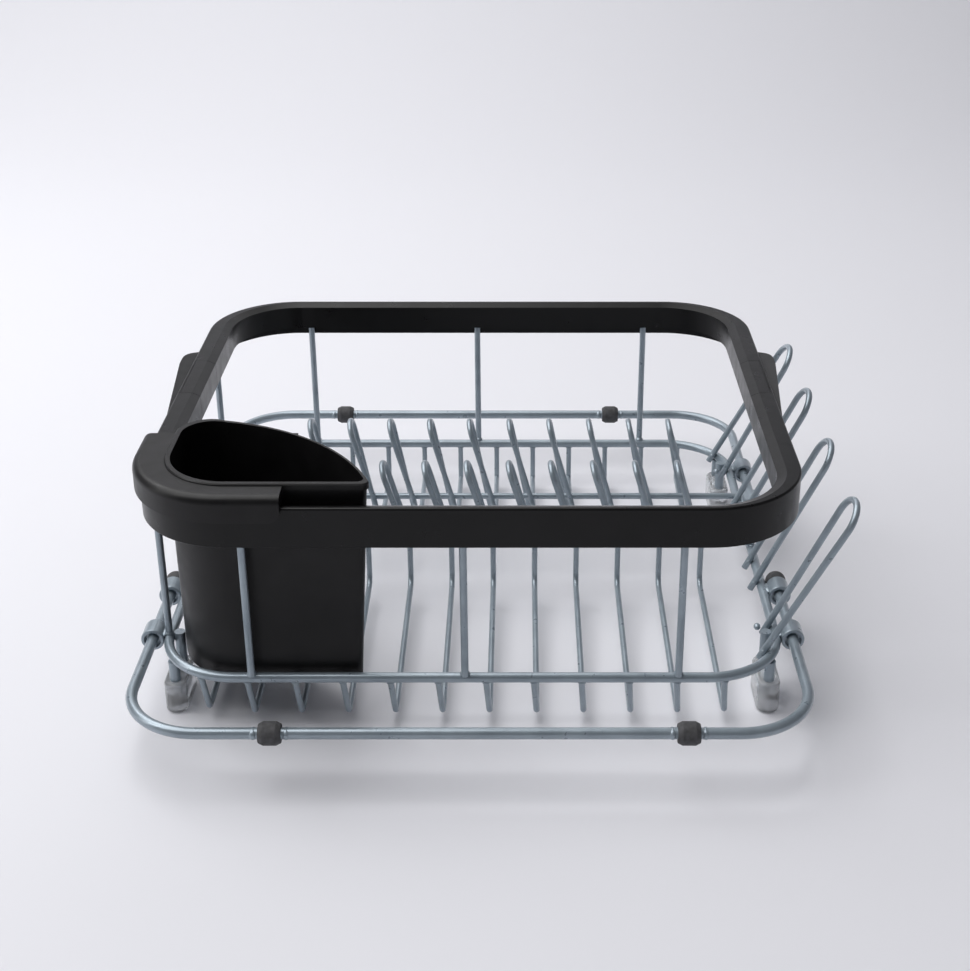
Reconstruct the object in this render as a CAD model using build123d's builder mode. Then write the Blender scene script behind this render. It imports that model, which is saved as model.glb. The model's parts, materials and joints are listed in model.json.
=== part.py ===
from build123d import *
import math
import os

os.makedirs("parts", exist_ok=True)

# ---------------------------------------------------------------- driving sizes, in mm
# +X is the user's right, +Y the back, +Z up. The floor is z = 0 and y = 0 is mid-depth.

weld_bite = 0.1               # how far two welded wires sink into each other

# lower ring
ring_width = 336.0            # between centrelines
ring_depth = 293.0            # between centrelines
ring_corner = 42.0
ring_wire = 5.5
ring_height = 33.0            # centreline above the floor

# rim
rim_width = 350.0
rim_depth = 305.0
rim_corner = 52.0
rim_height = 22.5
rim_top = 137.0
rim_end_rail = 7.5            # rail width at the front and back
rim_side_rail = 13.5
rim_wall = 1.6
rim_roof = 4.2
rim_inner_corner = 40.0
rim_skirt_step = 6.0          # the inner wall stops this much above the outer one
rim_crown_drop = 2.0
rim_crown_run = 5.0
rim_edge_round = 1.2
rim_lower_round = 0.6

# hand ledges moulded on the side rails
ledge_bulge = 8.5
ledge_height = 13.0
ledge_drop = 1.2              # outer edge below the rim's top
ledge_groove = 3.2            # further drop of the ledge beside the rail
ledge_fade_y = -62.0          # y where it grows out of the rail
ledge_front_y = 44.0          # widest from here
ledge_rear_y = 59.0           # to here
ledge_end_y = 73.0
ledge_turn = 22.0
ledge_front_turn = 60.0

# clips let into the side rails
clip_length = 50.0
clip_y = 19.5
clip_gap = 0.3

# posts and the wire ring inside the rim
post_wire = 4.0
post_weld = 0.15              # the foot sinks further, as it stands off-centre on the ring
upper_ring_side = 6.0         # side runs inside the rim's outer face
post_spacing = 113.0
post_left_y = (-107.0, 77.5)
wires_x = -3.0                # the posts and plate wires sit this far off centre

# plate wires
plate_wire = 3.4
plate_count = 12
plate_pitch = 25.4
plain_wires = 2               # wires under the caddy have no tines
floor_front = 7.7             # wire centreline above the floor
floor_middle = 11.6
floor_rear = 7.0
front_limb_lean = 1.6
front_dip_y = 6.0             # lowest point behind the ring's front run
rear_drop_y = 2.0
tine_front_y = -9.5           # near limb of the front row
tine_rear_y = 52.5            # near limb of the rear row
tine_width = 18.0             # between a tine's two limbs
tine_top = 88.0
tine_lean = 16.0
valley_height = 31.0
floor_bend = 8.0
tight_bend = 2.6

# wires across the ring
cross_wire = 4.0
cross_overrun = 1.0           # past the ring's centreline at each end

# cup loops
loop_count = 4
loop_wire = 3.8
loop_pitch = 74.0
loop_width = 25.0
loop_tip_x = 204.0            # from the rack's middle
loop_tip_z = 119.0
loop_tail = 4.5

# legs and feet
leg_wire = 6.0
leg_width = 19.5              # between the limbs
leg_front_y = 20.0            # front limb behind the ring's front run
leg_bottom = 10.0             # centreline of the bend
leg_rise = 4.0                # inner limb ends this far above the ring's centreline
foot_width = 12.6
foot_height = 18.4
foot_round = 1.6

# sliding arms
arm_wire = 6.0
arm_reach = 50.0              # run of the arm in front of the ring's run
arm_corner = 40.0
arm_travel = 40.0             # stated in the record as each arm's range

# guides welded to the ring for the arms
guide_outside = 12.8
guide_length = 12.6
guide_clearance = 0.08        # radial running fit
guide_mouth = 9.4
guide_mouth_depth = 3.0
guide_outer_y = 42.6          # middle of the outer guide behind the ring's run
guide_inner_y = 89.9

# caps and bumpers
cap_outside = 12.0
cap_length = 9.6
cap_gap = 0.3                 # cap to guide when the arm is out
cap_socket = 7.0
bumper_outside = 12.2
bumper_length = 11.4
bumper_chamfer = 2.4
bumper_front_x = (-99.5, 111.0)
bumper_rear_x = (-101.5, 92.0)

# cutlery caddy
caddy_top = 145.4
caddy_bottom = 26.7
caddy_wall = 2.0
caddy_inset = 2.1             # from the rim's inner face
caddy_right = -51.5
caddy_back = -64.0
caddy_corner = 36.0
caddy_taper_side = 0.8
caddy_taper_right = 7.0
caddy_lip_reach_x = -94.0     # right end of the hook along the front rail
caddy_lip_reach_y = -78.0     # rear end of the hook along the side rail
caddy_hook_wall = 2.6
caddy_hook_gap = 0.4
caddy_hook_drop = 7.0         # how far the hook hangs below the rim's top
caddy_rest_gap = 0.3
caddy_bead = 1.0              # the rolled edge stands out this much
caddy_bead_height = 3.4
caddy_shoulder = 4.4
caddy_hook_turn = 6.5
caddy_sole_round = 3.0

# ---------------------------------------------------------------- worked out from them

ledge_side = rim_width / 2 + ledge_bulge
loop_side = loop_tip_x + loop_wire / 2
rack_x = (ledge_side - loop_side) / 2     # puts the middle of the whole width on x = 0

ring_side = ring_width / 2
ring_top = ring_height + ring_wire / 2
ring_under = ring_height - ring_wire / 2
rim_bottom = rim_top - rim_height
rim_ceiling = rim_top - rim_roof

channel_middle = rim_wall + (rim_end_rail - 2 * rim_wall) / 2
post_y = rim_depth / 2 - channel_middle
upper_side = rim_width / 2 - upper_ring_side
upper_corner = rim_corner - rim_wall - post_wire / 2 - 0.4
upper_ring_z = rim_ceiling - post_wire / 2
post_top = upper_ring_z - post_wire / 2

cross_z = ring_top + cross_wire / 2 - weld_bite
arm_side = ring_side + (ring_wire + guide_outside) / 2 - weld_bite
leg_x = ring_side - ring_wire / 2 - leg_wire / 2
cap_y = guide_inner_y + guide_length / 2 + cap_gap


def at(x, y, z):
    """A point given from the middle of the rack, in the part's frame."""
    return (x + rack_x, y, z)


def ring_side_at(y):
    """Half width of the lower ring's centreline at depth y, and its corner angle there."""
    past_straight = abs(y) - (ring_depth / 2 - ring_corner)
    if past_straight <= 0:
        return ring_side, 0.0
    along = math.sqrt(ring_corner**2 - past_straight**2)
    return ring_side - ring_corner + along, math.asin(past_straight / ring_corner)


def ring_end_at(x):
    """Half depth of the lower ring's centreline at x."""
    past_straight = abs(x) - (ring_side - ring_corner)
    if past_straight <= 0:
        return ring_depth / 2
    return ring_depth / 2 - ring_corner + math.sqrt(ring_corner**2 - past_straight**2)


def finish(piece, name):
    piece.part.label = name
    export_step(piece.part, f"parts/{name}.step")


def bent_wire(name, points, radii, thickness):
    """A round wire along straight runs with rounded bends."""
    with BuildPart() as piece:
        with BuildLine() as path:
            FilletPolyline(*points, radius=radii)
        start = path.wire() @ 0
        with BuildSketch(Plane(origin=start, z_dir=path.wire() % 0)):
            Circle(thickness / 2)
        sweep(path=path.wire())
    finish(piece, name)
    return piece


def straight_wire(name, start, length, thickness, direction=(0, 0, 1)):
    with BuildPart() as piece:
        with BuildSketch(Plane(origin=start, z_dir=direction)):
            Circle(thickness / 2)
        extrude(amount=length)
    finish(piece, name)
    return piece


def closed_ring(name, width, depth, corner, height, thickness):
    """A wire bent into a rounded rectangle and butt welded."""
    with BuildPart() as piece:
        with BuildSketch(Plane.XY.offset(height), mode=Mode.PRIVATE) as outline:
            with Locations((rack_x, 0)):
                RectangleRounded(width, depth, corner)
        path = outline.sketch.face().outer_wire()
        with BuildSketch(Plane(origin=path @ 0, z_dir=path % 0)):
            Circle(thickness / 2)
        sweep(path=path)
    finish(piece, name)


# ---------------------------------------------------------------- rings, posts, cross wires

closed_ring("lower_ring", ring_width, ring_depth, ring_corner, ring_height, ring_wire)
closed_ring("upper_ring", 2 * upper_side, 2 * post_y, upper_corner, upper_ring_z, post_wire)

post_low = ring_top - post_weld
post_length = post_top + weld_bite - post_low
for place, y in (("front", -post_y), ("rear", post_y)):
    for number in range(3):
        x = wires_x + (number - 1) * post_spacing
        straight_wire(f"post_{place}_{number + 1}", at(x, y, post_low), post_length, post_wire)

for number, y in enumerate(post_left_y, start=1):
    straight_wire(f"post_left_{number}", at(-ring_side, y, post_low), post_length, post_wire)

cross_offset = (plate_wire + cross_wire) / 2 - weld_bite
for place, limb_y in (("front", tine_front_y), ("rear", tine_rear_y)):
    half = ring_side + cross_overrun
    start = at(-half, limb_y + cross_offset, cross_z)
    straight_wire(f"cross_wire_{place}", start, 2 * half, cross_wire, (1, 0, 0))


# ---------------------------------------------------------------- plate wires

def plate_wire_points(x, has_tines):
    """Route of one plate wire from the ring's front run to its back run, with its bends."""
    front_y = -ring_end_at(x - front_limb_lean)
    rear_y = ring_end_at(x)
    points = [
        at(x - front_limb_lean, front_y, ring_under),
        at(x, front_y + front_dip_y, floor_front),
    ]
    radii = [tight_bend]
    if has_tines:
        tip_x = x - tine_lean
        front_near = tine_front_y
        front_far = tine_front_y + tine_width
        rear_near = tine_rear_y
        rear_far = tine_rear_y + tine_width
        turn = tine_width / 2 - 0.1
        points += [
            at(x, front_near, floor_middle),
            at(x, front_near, cross_z),
            at(tip_x, front_near, tine_top),
            at(tip_x, front_far, tine_top),
            at(x, front_far, valley_height),
            at(x, rear_near, valley_height),
            at(tip_x, rear_near, tine_top),
            at(tip_x, rear_far, tine_top),
            at(x, rear_far, floor_rear),
        ]
        radii += [floor_bend, floor_bend, turn, turn, floor_bend, floor_bend, turn, turn, floor_bend]
    points += [at(x, rear_y - rear_drop_y, floor_rear), at(x, rear_y, ring_under)]
    radii += [tight_bend]
    return points, radii


for number in range(plate_count):
    x = wires_x + (number - (plate_count - 1) / 2) * plate_pitch
    points, radii = plate_wire_points(x, number >= plain_wires)
    bent_wire(f"plate_wire_{number + 1:02d}", points, radii, plate_wire)


# ---------------------------------------------------------------- cup loops

def loop_foot(y):
    """Where a loop's limb passes the inner upper side of the ring at depth y."""
    side, angle = ring_side_at(y)
    slope = math.atan2(loop_tip_x - side, loop_tip_z - ring_height)
    reach = (ring_wire + loop_wire) / 2 - weld_bite
    return side - reach * math.cos(slope) / math.cos(angle), ring_height + reach * math.sin(slope)


for number in range(loop_count):
    middle = ((loop_count - 1) / 2 - number) * loop_pitch
    limbs = []
    for y in (middle - loop_width / 2, middle + loop_width / 2):
        foot_x, foot_z = loop_foot(y)
        slope = (loop_tip_x - foot_x) / (loop_tip_z - foot_z)
        low = at(foot_x - slope * loop_tail, y, foot_z - loop_tail)
        limbs.append((low, at(loop_tip_x, y, loop_tip_z)))
    (low_near, tip_near), (low_far, tip_far) = limbs
    turn = loop_width / 2 - 0.2
    bent_wire(f"cup_loop_{number + 1}", [low_near, tip_near, tip_far, low_far], [turn, turn], loop_wire)


# ---------------------------------------------------------------- legs and their soft feet

def leg(side, end):
    """One U-shaped leg. side is -1 left or 1 right, end is -1 front or 1 rear."""
    name = f"{'front' if end < 0 else 'rear'}_{'left' if side < 0 else 'right'}"
    outer_y = end * (ring_depth / 2 - leg_front_y)
    inner_y = outer_y - end * leg_width
    x = side * leg_x
    points = [
        at(x, outer_y, ring_under + weld_bite),
        at(x, outer_y, leg_bottom),
        at(x, inner_y, leg_bottom),
        at(x, inner_y, ring_height + leg_rise),
    ]
    turn = leg_width / 2 - 0.1
    wire = bent_wire(f"leg_{name}", points, [turn, turn], leg_wire)
    with BuildPart() as boot:
        with BuildSketch(Plane.XY):
            with Locations((x + rack_x, (outer_y + inner_y) / 2)):
                SlotCenterToCenter(leg_width, foot_width, rotation=90)
        extrude(amount=foot_height)
        fillet(boot.edges().group_by(Axis.Z)[0], foot_round)
        fillet(boot.edges().group_by(Axis.Z)[-1], foot_round)
        add(wire.part, mode=Mode.SUBTRACT)
    finish(boot, f"foot_{name}")


for side in (-1, 1):
    for end in (-1, 1):
        leg(side, end)


# ---------------------------------------------------------------- guides, arms, caps, bumpers

def guide(name, x, y):
    """A short tube with a wide mouth at each end, welded beside the ring."""
    with BuildPart() as tube:
        with BuildSketch(Plane(origin=at(x, y, ring_height), z_dir=(0, 1, 0))):
            Circle(guide_outside / 2)
        extrude(amount=guide_length / 2, both=True)
        fillet(tube.edges().filter_by(GeomType.CIRCLE), 0.8)
        with BuildSketch(Plane(origin=at(x, y, ring_height), z_dir=(0, 1, 0))):
            Circle(arm_wire / 2 + guide_clearance)
        extrude(amount=guide_length, both=True, mode=Mode.SUBTRACT)
        for end in (-1, 1):
            mouth_y = y + end * guide_length / 2
            with BuildSketch(Plane(origin=at(x, mouth_y, ring_height), z_dir=(0, -end, 0))):
                Circle(guide_mouth / 2)
            extrude(amount=guide_mouth_depth, mode=Mode.SUBTRACT)
    finish(tube, name)


def cap(name, x, y, end):
    """A domed cap pushed over an arm's end. end is the direction that its dome faces in Y."""
    with BuildPart() as piece:
        with BuildSketch(Plane(origin=at(x, y, ring_height), z_dir=(0, end, 0))):
            Circle(cap_outside / 2)
        extrude(amount=cap_length)
        dome_edge = piece.edges().filter_by(GeomType.CIRCLE).sort_by(Axis.Y)[-1 if end > 0 else 0]
        fillet(dome_edge, 4.5)
        with BuildSketch(Plane(origin=at(x, y, ring_height), z_dir=(0, end, 0))):
            Circle(arm_wire / 2)
        extrude(amount=cap_socket, mode=Mode.SUBTRACT)
    finish(piece, name)


def bumper(name, x, y):
    """A rubber barrel round an arm's long run."""
    with BuildPart() as barrel:
        with BuildSketch(Plane(origin=at(x, y, ring_height), z_dir=(1, 0, 0))):
            Circle(bumper_outside / 2)
        extrude(amount=bumper_length / 2, both=True)
        chamfer(barrel.edges().filter_by(GeomType.CIRCLE), bumper_chamfer, bumper_chamfer / 2)
        with BuildSketch(Plane(origin=at(x, y, ring_height), z_dir=(1, 0, 0))):
            Circle(arm_wire / 2)
        extrude(amount=bumper_length, both=True, mode=Mode.SUBTRACT)
    finish(barrel, name)


def sliding_arm(place, end, bumper_x):
    """A U-shaped arm. end is -1 for the front and 1 for the rear."""
    run_y = end * (ring_depth / 2 + arm_reach)
    tip_y = end * (ring_depth / 2 - cap_y - cap_socket)
    points = [
        at(-arm_side, tip_y, ring_height),
        at(-arm_side, run_y, ring_height),
        at(arm_side, run_y, ring_height),
        at(arm_side, tip_y, ring_height),
    ]
    bent_wire(f"{place}_arm", points, [arm_corner, arm_corner], arm_wire)
    for side, word, along in ((-1, "left", bumper_x[0]), (1, "right", bumper_x[1])):
        x = side * arm_side
        bumper(f"{place}_bumper_{word}", along, run_y)
        cap(f"{place}_arm_cap_{word}", x, end * (ring_depth / 2 - cap_y), -end)
        guide(f"{place}_guide_outer_{word}", x, end * (ring_depth / 2 - guide_outer_y))
        guide(f"{place}_guide_inner_{word}", x, end * (ring_depth / 2 - guide_inner_y))


sliding_arm("front", -1, bumper_front_x)
sliding_arm("rear", 1, bumper_rear_x)


# ---------------------------------------------------------------- rim and its clips

inner_width = rim_width - 2 * rim_side_rail
inner_depth = rim_depth - 2 * rim_end_rail


def rim_outline(shrink, mode=Mode.ADD):
    """The rim's outside in plan, moved in by shrink."""
    with Locations((rack_x, 0)):
        RectangleRounded(rim_width - 2 * shrink, rim_depth - 2 * shrink, rim_corner - shrink, mode=mode)


def opening_outline(grow, mode=Mode.ADD):
    """The rim's opening in plan, moved out by grow."""
    with Locations((rack_x, 0)):
        corner = rim_inner_corner + grow
        RectangleRounded(inner_width + 2 * grow, inner_depth + 2 * grow, corner, mode=mode)


def clip_box(margin, side):
    """The block of side rail that a clip takes up."""
    rail_x = side * (rim_width / 2 - rim_side_rail / 2 - rim_wall)
    with Locations((rail_x + rack_x, clip_y)):
        Rectangle(rim_side_rail + 2 * margin, clip_length + 2 * margin)


def ledge(side):
    """A hand ledge, short and round at the back and fading slowly towards the front."""
    root = side * (rim_width / 2 - rim_wall) + rack_x
    face = side * rim_width / 2 + rack_x
    brow = face + side * ledge_bulge
    top = rim_top - ledge_drop
    with BuildSketch(Plane.XY.offset(top)) as profile:
        with BuildLine() as line:
            FilletPolyline(
                (root, ledge_end_y),
                (brow, ledge_rear_y),
                (brow, ledge_front_y),
                (root, ledge_fade_y),
                radius=[ledge_turn, ledge_front_turn],
            )
            Line((root, ledge_fade_y), (root, ledge_end_y))
        make_face(line.edges())
    extrude(profile.sketch, amount=-ledge_height)
    with BuildSketch(Plane.XZ.offset(-ledge_end_y)) as scoop:
        with BuildLine() as section:
            Polyline((face, top + 1), (face, top - ledge_groove), (brow, top), (brow, top + 1), close=True)
        make_face(section.edges())
    extrude(scoop.sketch, amount=ledge_end_y - ledge_fade_y, mode=Mode.SUBTRACT)


with BuildPart() as rail:
    with BuildSketch(Plane.XY.offset(rim_bottom)):
        rim_outline(0)
    extrude(amount=rim_height)
    fillet(rail.edges().group_by(Axis.Z)[-1], rim_edge_round)
    fillet(rail.edges().group_by(Axis.Z)[0], rim_lower_round)
    for side in (-1, 1):
        ledge(side)
    with BuildSketch(Plane.XY.offset(rim_bottom)):
        opening_outline(0)
    extrude(amount=rim_height, mode=Mode.SUBTRACT)
    top_face = rail.faces().sort_by(Axis.Z)[-1]
    inner_edges = top_face.inner_wires()[0].edges()
    chamfer(inner_edges, rim_crown_run, rim_crown_drop, reference=top_face)
    with BuildSketch(Plane.XY.offset(rim_bottom)):
        rim_outline(rim_wall)
        opening_outline(rim_wall, mode=Mode.SUBTRACT)
    extrude(amount=rim_height - rim_roof, mode=Mode.SUBTRACT)
    with BuildSketch(Plane.XY.offset(rim_bottom)):
        rim_outline(rim_wall)
    extrude(amount=rim_skirt_step, mode=Mode.SUBTRACT)

for side, word in ((-1, "left"), (1, "right")):
    with BuildPart() as rail_clip:
        add(rail.part)
        with BuildSketch(Plane.XY.offset(rim_bottom)):
            clip_box(-clip_gap / 2, side)
        extrude(amount=rim_height, mode=Mode.INTERSECT)
    finish(rail_clip, f"rim_clip_{word}")

with BuildPart() as rim:
    add(rail.part)
    with BuildSketch(Plane.XY.offset(rim_bottom)):
        clip_box(clip_gap / 2, -1)
        clip_box(clip_gap / 2, 1)
    extrude(amount=rim_height, mode=Mode.SUBTRACT)
finish(rim, "rim")


# ---------------------------------------------------------------- cutlery caddy

caddy_left = -inner_width / 2 + caddy_inset
caddy_front = -inner_depth / 2 + caddy_inset + 2


def caddy_outline(shrink, lower=0.0):
    """Caddy in plan: straight front and left side, bowed back. lower is 1 at the bottom."""
    left = caddy_left + rack_x + shrink + lower * caddy_taper_side
    right = caddy_right + rack_x - shrink - lower * caddy_taper_right
    front = caddy_front + shrink + lower * caddy_taper_side
    back = caddy_back - shrink - lower * caddy_taper_side
    corner = caddy_corner - shrink
    bow_x = left + 0.22 * (right - left)
    with BuildLine() as line:
        Line((left + corner, front), (right - 3, front))
        ThreePointArc((right - 3, front), (right - 0.6, front + 1.2), (right, front + 4))
        ThreePointArc((right, front + 4), (left + 0.73 * (right - left), front + 0.62 * (back - front)),
                      (bow_x, back))
        ThreePointArc((bow_x, back), (left + 4, back - 3.5), (left, back - 14))
        Line((left, back - 14), (left, front + corner))
        RadiusArc((left, front + corner), (left + corner, front), -corner)
    make_face(line.edges())


def caddy_solid(shrink, bottom, top, mode=Mode.ADD):
    with BuildSketch(Plane.XY.offset(bottom)) as low:
        caddy_outline(shrink, 1.0)
    with BuildSketch(Plane.XY.offset(top)) as high:
        caddy_outline(shrink)
    loft([low.sketch, high.sketch], mode=mode)


def hook_end(length):
    """Side view of the hook's end, with its lower corner rounded."""
    RectangleRounded(length, caddy_top, caddy_hook_turn, align=(Align.MAX, Align.MIN))


lip_underside = rim_top + caddy_rest_gap
lip_top = caddy_top - caddy_bead
hook_bottom = rim_top - caddy_hook_drop
bead_bevel = caddy_bead * 0.6
with BuildPart() as caddy:
    with BuildSketch(Plane.XY.offset(hook_bottom)):
        rim_outline(-caddy_hook_gap - caddy_hook_wall)
    extrude(amount=lip_top - hook_bottom)
    fillet(caddy.edges().group_by(Axis.Z)[-1], caddy_shoulder)
    with BuildSketch(Plane.XY.offset(hook_bottom)):
        rim_outline(-caddy_hook_gap)
    extrude(amount=lip_underside - hook_bottom, mode=Mode.SUBTRACT)
    with BuildSketch(Plane.XZ):
        with Locations((caddy_lip_reach_x + rack_x, hook_bottom)):
            hook_end(rim_width)
    extrude(amount=rim_depth, both=True, mode=Mode.INTERSECT)
    with BuildSketch(Plane.YZ):
        with Locations((caddy_lip_reach_y, hook_bottom)):
            hook_end(rim_depth)
    extrude(amount=rim_width, both=True, mode=Mode.INTERSECT)
    caddy_solid(0, caddy_bottom, lip_top)
    with BuildSketch(Plane.XY.offset(caddy_top - caddy_bead_height)) as bead:
        caddy_outline(-caddy_bead)
    extrude(bead.sketch, amount=caddy_bead_height - bead_bevel)
    with BuildSketch(Plane.XY.offset(caddy_top - bead_bevel)) as bead_low:
        caddy_outline(-caddy_bead)
    with BuildSketch(Plane.XY.offset(caddy_top)) as bead_high:
        caddy_outline(bead_bevel - caddy_bead)
    loft([bead_low.sketch, bead_high.sketch])
    fillet(caddy.edges().group_by(Axis.Z)[0], caddy_sole_round)
    caddy_solid(caddy_wall, caddy_bottom + caddy_wall, caddy_top, mode=Mode.SUBTRACT)
finish(caddy, "cutlery_caddy")
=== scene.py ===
import json
import math
import random

import bmesh
import bpy
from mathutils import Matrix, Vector


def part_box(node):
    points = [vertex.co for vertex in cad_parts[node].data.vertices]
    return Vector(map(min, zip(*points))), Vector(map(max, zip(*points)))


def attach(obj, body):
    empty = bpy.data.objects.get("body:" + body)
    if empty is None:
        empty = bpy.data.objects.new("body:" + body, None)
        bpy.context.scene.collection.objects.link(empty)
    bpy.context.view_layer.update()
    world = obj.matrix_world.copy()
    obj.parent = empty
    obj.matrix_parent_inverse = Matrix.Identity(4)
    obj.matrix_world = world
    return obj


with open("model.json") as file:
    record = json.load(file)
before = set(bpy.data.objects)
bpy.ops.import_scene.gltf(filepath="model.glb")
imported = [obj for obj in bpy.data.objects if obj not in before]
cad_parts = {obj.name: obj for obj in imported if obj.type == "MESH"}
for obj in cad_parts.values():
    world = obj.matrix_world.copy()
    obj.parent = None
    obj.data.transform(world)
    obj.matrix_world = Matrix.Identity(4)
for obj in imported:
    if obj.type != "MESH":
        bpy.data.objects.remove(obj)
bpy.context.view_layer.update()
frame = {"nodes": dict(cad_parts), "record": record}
nodes = frame["nodes"]
MM = 0.001


# ---------------------------------------------------------------- materials

# Noise values mostly lie between these, so a range that is spread over them gets used in full.
NOISE_LOW = 0.3
NOISE_HIGH = 0.7


def linear(hex_colour):
    """sRGB hex, such as #8f9ca6, to the linear colour that a shader takes."""
    channels = [int(hex_colour[i:i + 2], 16) / 255 for i in (1, 3, 5)]
    curve = [c / 12.92 if c <= 0.04045 else ((c + 0.055) / 1.055) ** 2.4 for c in channels]
    return (*curve, 1.0)


class Finish:
    """A material under construction: its node tree, shader and object-space coordinates."""

    def __init__(self, name, **shader_settings):
        self.material = bpy.data.materials.new(name)
        self.material.use_nodes = True
        self.tree = self.material.node_tree
        self.shader = self.tree.nodes["Principled BSDF"]
        for socket, value in shader_settings.items():
            self.shader.inputs[socket.replace("_", " ")].default_value = value
        self.place = self.node("ShaderNodeTexCoord").outputs["Object"]

    def node(self, kind, links=None, inputs=None, **settings):
        """Adds one node with its settings, its own values and its links."""
        made = self.tree.nodes.new(kind)
        for name, value in settings.items():
            setattr(made, name, value)
        for socket, value in (inputs or {}).items():
            made.inputs[socket].default_value = value
        for socket, source in (links or {}).items():
            self.tree.links.new(source, made.inputs[socket])
        return made

    def join(self, source, socket):
        self.tree.links.new(source, self.shader.inputs[socket])


def per_metre(size_mm):
    """Texture scale that gives features of this size."""
    return 1000 / size_mm


def mottle(finish, size_mm, low, high):
    """Soft noise between two values, with patches of the given size."""
    noise = finish.node("ShaderNodeTexNoise", {"Vector": finish.place},
                        {"Scale": per_metre(size_mm), "Detail": 3.0})
    spread = finish.node("ShaderNodeMapRange", {"Value": noise.outputs["Fac"]},
                         {"From Min": NOISE_LOW, "From Max": NOISE_HIGH,
                          "To Min": low, "To Max": high})
    return spread.outputs["Result"]


def relief(finish, grain_mm, height_mm, wave_mm, wave_height_mm):
    """Moulded or sprayed grain, with a longer wave added to it."""
    grain = finish.node("ShaderNodeTexNoise", {"Vector": finish.place},
                        {"Scale": per_metre(grain_mm), "Detail": 2.0})
    skin = finish.node("ShaderNodeBump", {"Height": grain.outputs["Fac"]},
                       {"Strength": 1.0, "Distance": height_mm * MM})
    wave = finish.node("ShaderNodeTexNoise", {"Vector": finish.place},
                       {"Scale": per_metre(wave_mm), "Detail": 1.0})
    bump = finish.node("ShaderNodeBump",
                       {"Height": wave.outputs["Fac"], "Normal": skin.outputs["Normal"]},
                       {"Strength": 1.0, "Distance": wave_height_mm * MM})
    finish.join(bump.outputs["Normal"], "Normal")


def tint(finish, dark, light, size_mm):
    """Colour that wanders between two near shades."""
    fade = mottle(finish, size_mm, 0.0, 1.0)
    mix = finish.node("ShaderNodeMix", {"Factor": fade}, data_type="RGBA")
    mix.inputs["A"].default_value = linear(dark)
    mix.inputs["B"].default_value = linear(light)
    finish.join(mix.outputs["Result"], "Base Color")


def powder_coated_steel():
    """Blue-grey powder coat on drawn wire: a soft long highlight with slight orange peel."""
    finish = Finish("powder_coated_steel", Metallic=0.45, Coat_Weight=0.45, Coat_Roughness=0.14)
    tint(finish, "#8a969f", "#9ba7b0", 14)
    finish.join(mottle(finish, 5, 0.27, 0.37), "Roughness")
    relief(finish, grain_mm=0.9, height_mm=0.012, wave_mm=4.0, wave_height_mm=0.03)
    return finish.material


def moulded_abs():
    """Black ABS with a fine spark-eroded grain: dark, with a wide dull sheen at grazing angles."""
    finish = Finish("moulded_black_abs", IOR=1.52, Specular_IOR_Level=0.24)
    tint(finish, "#080808", "#0e0d0e", 30)
    finish.join(mottle(finish, 9, 0.27, 0.36), "Roughness")
    relief(finish, grain_mm=0.55, height_mm=0.018, wave_mm=12.0, wave_height_mm=0.03)
    return finish.material


def moulded_polypropylene():
    """Black polypropylene, a little lighter and duller than the rim, with faint flow marks."""
    finish = Finish("moulded_black_polypropylene", IOR=1.49, Specular_IOR_Level=0.3)
    tint(finish, "#0b0a0b", "#121112", 24)
    finish.join(mottle(finish, 11, 0.34, 0.45), "Roughness")
    relief(finish, grain_mm=0.6, height_mm=0.015, wave_mm=16.0, wave_height_mm=0.04)
    return finish.material


def grey_rubber():
    """Thermoplastic rubber: mid grey, almost no shine, a dry bloom and a pebbled skin."""
    finish = Finish("grey_soft_rubber", IOR=1.5, Specular_IOR_Level=0.3)
    tint(finish, "#454546", "#565658", 3)
    finish.join(mottle(finish, 2, 0.66, 0.82), "Roughness")
    relief(finish, grain_mm=0.45, height_mm=0.03, wave_mm=2.5, wave_height_mm=0.05)
    return finish.material


def clear_vinyl():
    """Clear soft vinyl, slightly milky, that lets the wire inside it show faintly."""
    finish = Finish("clear_soft_vinyl", IOR=1.38, Transmission_Weight=0.72)
    tint(finish, "#f0f3f6", "#fcfdfe", 6)
    finish.join(mottle(finish, 4, 0.12, 0.26), "Roughness")
    relief(finish, grain_mm=1.2, height_mm=0.02, wave_mm=5.0, wave_height_mm=0.06)
    return finish.material


def studio_paper():
    """Matt white paper: takes soft shadows and gives no glare."""
    finish = Finish("seamless_paper_white", Base_Color=linear("#e4e4e9"))
    finish.join(mottle(finish, 300, 0.82, 0.9), "Roughness")
    return finish.material


FINISHES = {
    "coated_wire": powder_coated_steel(),
    "rim_plastic": moulded_abs(),
    "caddy_plastic": moulded_polypropylene(),
    "bumper_rubber": grey_rubber(),
    "clear_foot": clear_vinyl(),
}
slot_of = {part["node"]: part["material_slot"] for part in frame["record"]["subparts"]}
for name, node in nodes.items():
    for material_slot in node.material_slots:
        material_slot.material = FINISHES[slot_of[name]]


# ---------------------------------------------------------------- welds and crimps

RING_WIRE = 5.5 * MM
PLATE_WIRE = 3.4 * MM
LOOP_WIRE = 3.8 * MM

# Half sizes of the beads and crimps along X, Y and Z.
POST_BEAD = (2.7 * MM, 2.5 * MM, 1.9 * MM)
PLATE_BEAD = (2.2 * MM, 2.0 * MM, 1.4 * MM)
CROSS_BEAD = (2.3 * MM, 2.6 * MM, 1.3 * MM)
GUIDE_BEAD = (2.0 * MM, 5.2 * MM, 1.5 * MM)
LOOP_BEAD = (1.9 * MM, 2.4 * MM, 1.9 * MM)
CRIMP = (2.6 * MM, 3.7 * MM, 3.1 * MM)

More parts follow.
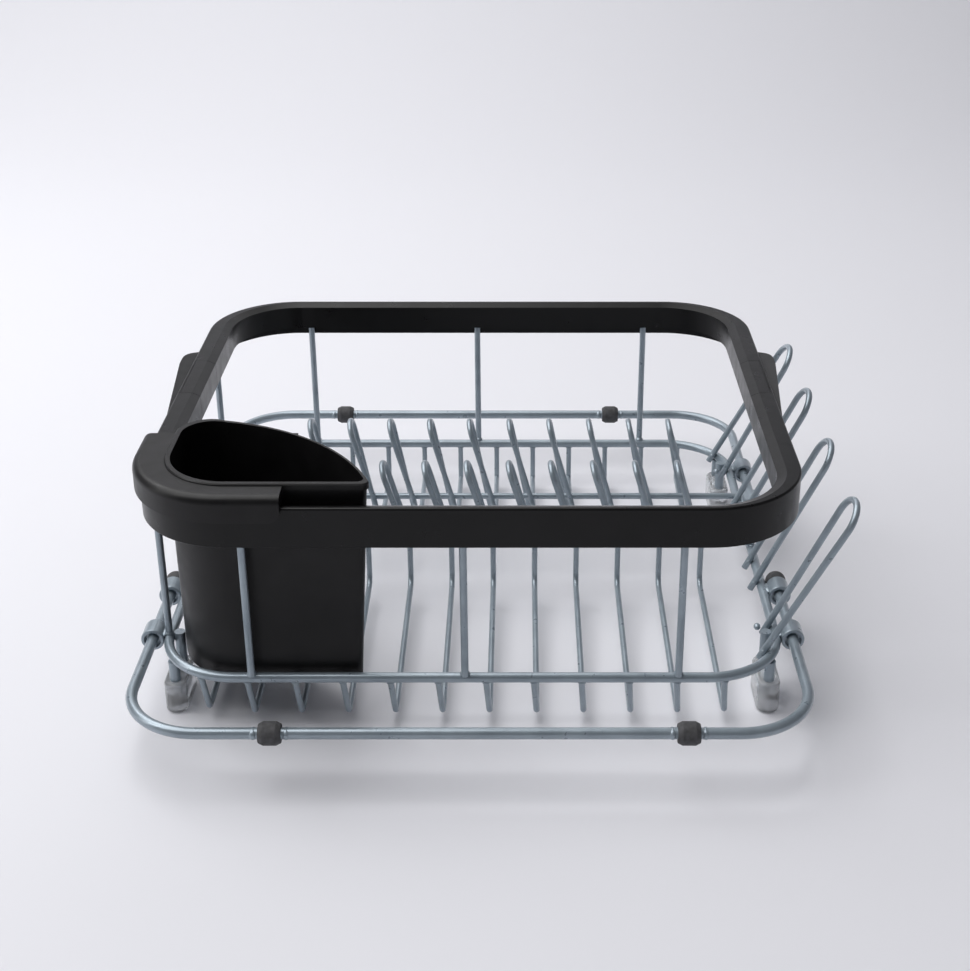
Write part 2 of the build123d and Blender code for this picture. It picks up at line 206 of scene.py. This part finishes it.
END_POST_Y = 140 * MM             # posts further out than this stand on the front or rear run
POST_INSET = RING_WIRE * 0.3      # the beads of those posts sit this far in from the post's axis
PLATE_FRONT_INSET = 1.4 * MM      # from a plate wire's front end to its bead
PLATE_REAR_INSET = 1.6 * MM       # from its rear end
PLATE_FRONT_SHIFT = 1.5 * MM      # the front bead sits this far to the left of the rear one
CROSS_INSET = 1.0 * MM            # from a cross wire's ends to its beads
GUIDE_BEAD_RISE = 1.9 * MM        # one bead above the ring's axis and one below
LOOP_INSET = 3.9 * MM             # from a cup loop's left side to its beads
LOOP_DROP = 1.0 * MM              # below the ring's top
BEAD_WOBBLE = 0.06                # unevenness of a bead, as a share of its size
CRIMP_WOBBLE = 0.02


def corners(name):
    """Lower and upper corner of a CAD node's box."""
    return tuple(Vector(corner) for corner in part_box(name))


def swelling(mesh, place, reach, wobble):
    """One rounded lump under the coating. reach is its half size along X, Y and Z."""
    lump = bmesh.ops.create_icosphere(mesh, subdivisions=3, radius=1.0)["verts"]
    for vert in lump:
        uneven = 1 + wobble * (random.random() - 0.5)
        vert.co = Vector(place) + Vector(a * b * uneven for a, b in zip(vert.co, reach))


def finish_piece(mesh, name, body, slot):
    """Smooth-shaded object made of the mesh, riding on a body and filed under a material slot."""
    data = bpy.data.meshes.new(name)
    for face in mesh.faces:
        face.smooth = True
    mesh.to_mesh(data)
    mesh.free()
    data.materials.append(FINISHES[slot])
    piece = bpy.data.objects.new(name, data)
    bpy.context.collection.objects.link(piece)
    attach(piece, body)


def weld_metal():
    """Beads where the posts, plate wires, cross wires, guides and cup loops meet the ring."""
    random.seed(4)
    beads = bmesh.new()
    ring_low, ring_high = corners("lower_ring")
    ring_x = (ring_low.x + ring_high.x) / 2
    ring_z = (ring_low.z + ring_high.z) / 2
    for name in nodes:
        low, high = corners(name)
        centre = (low + high) / 2
        if name.startswith("post_"):
            inset = POST_INSET if abs(centre.y) > END_POST_Y else 0.0
            foot_y = centre.y - math.copysign(inset, centre.y)
            swelling(beads, (centre.x, foot_y, ring_high.z), POST_BEAD, BEAD_WOBBLE)
        elif name.startswith("plate_wire_"):
            x = high.x - PLATE_WIRE / 2
            front = (x - PLATE_FRONT_SHIFT, low.y + PLATE_FRONT_INSET, ring_low.z)
            rear = (x, high.y - PLATE_REAR_INSET, ring_low.z)
            for place in (front, rear):
                swelling(beads, place, PLATE_BEAD, BEAD_WOBBLE)
        elif name.startswith("cross_wire_"):
            for x in (low.x + CROSS_INSET, high.x - CROSS_INSET):
                swelling(beads, (x, centre.y, ring_high.z), CROSS_BEAD, BEAD_WOBBLE)
        elif "guide" in name:
            x = ring_high.x if centre.x > ring_x else ring_low.x
            for rise in (-GUIDE_BEAD_RISE, GUIDE_BEAD_RISE):
                swelling(beads, (x, centre.y, ring_z + rise), GUIDE_BEAD, BEAD_WOBBLE)
        elif name.startswith("cup_loop_"):
            for y in (low.y + LOOP_WIRE / 2, high.y - LOOP_WIRE / 2):
                place = (low.x + LOOP_INSET, y, ring_high.z - LOOP_DROP)
                swelling(beads, place, LOOP_BEAD, BEAD_WOBBLE)
    finish_piece(beads, "weld_beads", "rack", "coated_wire")


def crimps(arm):
    """Short flattened swellings that keep each bumper in its place on the arm."""
    half_length = CRIMP[0]
    for word in ("left", "right"):
        low, high = corners(f"{arm}_bumper_{word}")
        centre = (low + high) / 2
        marks = bmesh.new()
        for x in (low.x - half_length, high.x + half_length):
            swelling(marks, (x, centre.y, centre.z), CRIMP, CRIMP_WOBBLE)
        finish_piece(marks, f"{arm}_crimps_{word}", f"{arm}_arm", "coated_wire")


weld_metal()
for arm in ("front", "rear"):
    crimps(arm)


# ---------------------------------------------------------------- studio

# Sizes of the paper and of the lights are in metres.
PAPER_HALF_WIDTH = 4.0
PAPER_FRONT = 3.0                 # in front of the rack
PAPER_BACK = 2.2                  # behind it
PAPER_HEIGHT = 3.0
PAPER_TURN = 1.2                  # radius of the sweep between floor and backdrop
PAPER_STEPS = 24

AIR_COLOUR = "#eeeef4"
AIR_STRENGTH = 0.2


def seamless_paper():
    """Floor that sweeps up into a backdrop behind the rack."""
    turn_y = PAPER_BACK - PAPER_TURN
    profile = [(-PAPER_FRONT, 0.0), (turn_y, 0.0)]
    for i in range(1, PAPER_STEPS + 1):
        angle = i / PAPER_STEPS * math.pi / 2
        profile.append((turn_y + PAPER_TURN * math.sin(angle),
                        PAPER_TURN - PAPER_TURN * math.cos(angle)))
    profile.append((PAPER_BACK, PAPER_HEIGHT))
    mesh = bpy.data.meshes.new("seamless_paper")
    paper = bmesh.new()
    rows = [[paper.verts.new((x, y, z)) for x in (-PAPER_HALF_WIDTH, PAPER_HALF_WIDTH)]
            for y, z in profile]
    for low, up in zip(rows, rows[1:]):
        paper.faces.new((low[0], low[1], up[1], up[0])).smooth = True
    paper.to_mesh(mesh)
    paper.free()
    sheet = bpy.data.objects.new("seamless_paper", mesh)
    mesh.materials.append(studio_paper())
    bpy.context.collection.objects.link(sheet)


def soft_box(name, place, aim, size, watts):
    """White rectangular light of the given size, turned to its aim."""
    light = bpy.data.lights.new(name, "AREA")
    light.shape = "RECTANGLE"
    light.size, light.size_y = size
    light.energy = watts
    lamp = bpy.data.objects.new(name, light)
    lamp.location = place
    lamp.rotation_euler = (Vector(aim) - Vector(place)).to_track_quat("-Z", "Y").to_euler()
    bpy.context.collection.objects.link(lamp)


def studio_air():
    """Faint even fill from all round."""
    world = bpy.data.worlds.new("studio_air")
    world.use_nodes = True
    background = world.node_tree.nodes["Background"]
    background.inputs["Color"].default_value = linear(AIR_COLOUR)
    background.inputs["Strength"].default_value = AIR_STRENGTH
    bpy.context.scene.world = world


seamless_paper()
soft_box("overhead_soft_box", place=(-0.8, 0.2, 1.7), aim=(0, 0, 0), size=(2.1, 1.9), watts=37)
soft_box("back_soft_box", place=(-0.6, 1.5, 1.6), aim=(0, 0.2, 0), size=(2.2, 1.0), watts=8)
soft_box("left_strip", place=(-1.8, -0.3, 0.9), aim=(0, 0, 0.05), size=(0.5, 1.6), watts=6)
studio_air()
bpy.context.scene.view_settings.view_transform = "Standard"


# ---------------------------------------------------------------- camera

LENS_MM = 57.3
SENSOR_MM = 36.0
SHIFT_X = -0.036                  # shares of the sensor's width
SHIFT_Y = -0.062
CAMERA_PLACE = (0.0149, -0.8388, 0.4946)
DOWNWARD_TILT = 24.43             # degrees below level

camera_data = bpy.data.cameras.new("camera")
camera_data.lens = LENS_MM
camera_data.sensor_width = SENSOR_MM
camera_data.shift_x = SHIFT_X
camera_data.shift_y = SHIFT_Y
camera = bpy.data.objects.new("camera", camera_data)
camera.location = CAMERA_PLACE
camera.rotation_euler = (math.radians(90 - DOWNWARD_TILT), 0, 0)
bpy.context.collection.objects.link(camera)
bpy.context.scene.camera = camera
